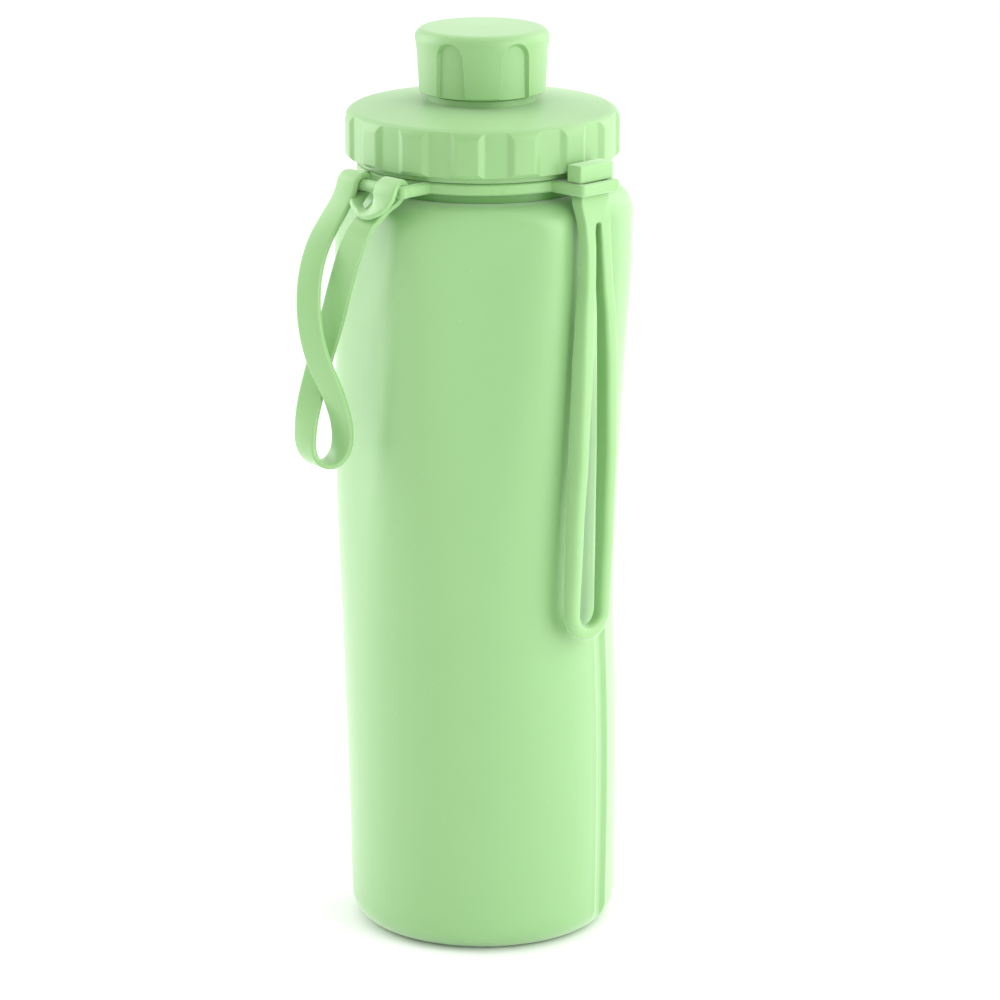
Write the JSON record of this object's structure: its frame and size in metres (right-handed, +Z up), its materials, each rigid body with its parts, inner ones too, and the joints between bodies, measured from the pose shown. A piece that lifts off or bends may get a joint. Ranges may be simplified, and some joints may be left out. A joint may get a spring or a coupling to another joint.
{
  "type": "folding water bottle",
  "caption": "Soft pastel green silicone water bottle that folds up, with a screw lid, a screw cap on the spout, and straps on a turning ring.",
  "frame": {"origin": "middle of the flat base, on the surface that the bottle stands on", "axes": "+Z up along the bottle, -Y towards the front, between the two strap lugs, +X to the right when it is seen from the front"},
  "size_m": [0.0835, 0.0714, 0.2298],
  "materials": {
    "body_silicone": "matt",
    "strap_silicone": "matt",
    "seal_silicone": "matt",
    "lid_plastic": "matt",
    "neck_plastic": "matt"
  },
  "bodies": {
    "neck": {"neck_insert": "neck_plastic"},
    "body": {"bottle_body": "body_silicone"},
    "strap_ring": {"strap_ring": "strap_silicone", "fold_strap_head": "strap_silicone"},
    "fold_strap": {"fold_strap": "strap_silicone"},
    "carry_loop": {"carry_loop_hitch": "strap_silicone", "carry_loop": "strap_silicone"},
    "lid_seal": {"lid_gasket": "seal_silicone"},
    "lid": {"lid": "lid_plastic"},
    "cap_seal": {"spout_cap_seal": "seal_silicone"},
    "spout_cap": {"spout_cap": "lid_plastic"}
  },
  "joints": [
    {"name": "body_fold_up", "type": "slide", "parent": "neck", "child": "body", "axis": [0, 0, 1], "range_m": [0, 0.125], "stiffness_N_per_m": 250, "springref_m": -0.004, "deforming": ["bottle_body"]},
    {"name": "strap_ring_turn", "type": "hinge", "parent": "neck", "child": "strap_ring", "pos_m": [0, 0, 0.19465], "axis": [0, 0, 1], "continuous": true},
    {"name": "fold_strap_swing", "type": "hinge", "parent": "strap_ring", "child": "fold_strap", "pos_m": [0.02653, -0.02607, 0.1901], "axis": [-0.7009, -0.7132, 0], "range_deg": [0, 60]},
    {"name": "carry_loop_swing", "type": "hinge", "parent": "strap_ring", "child": "carry_loop", "pos_m": [-0.02616, -0.02616, 0.19465], "axis": [-0.7071, 0.7071, 0], "range_deg": [0, 90]},
    {"name": "lid_rise", "type": "slide", "parent": "neck", "child": "lid_seal", "axis": [0, 0, 1], "range_m": [0, 0.009]},
    {"name": "lid_turn", "type": "hinge", "parent": "lid_seal", "child": "lid", "pos_m": [0, 0, 0.2], "axis": [0, 0, 1], "range_deg": [0, 811]},
    {"name": "cap_rise", "type": "slide", "parent": "lid", "child": "cap_seal", "axis": [0, 0, 1], "range_m": [0, 0.00675]},
    {"name": "cap_turn", "type": "hinge", "parent": "cap_seal", "child": "spout_cap", "pos_m": [0, 0, 0.22], "axis": [0, 0, 1], "range_deg": [0, 811]}
  ],
  "couplings": [
    {"joint": "lid_turn", "follows": "lid_rise", "rad_per_m": 1570.8},
    {"joint": "cap_turn", "follows": "cap_rise", "rad_per_m": 2094.4}
  ]
}
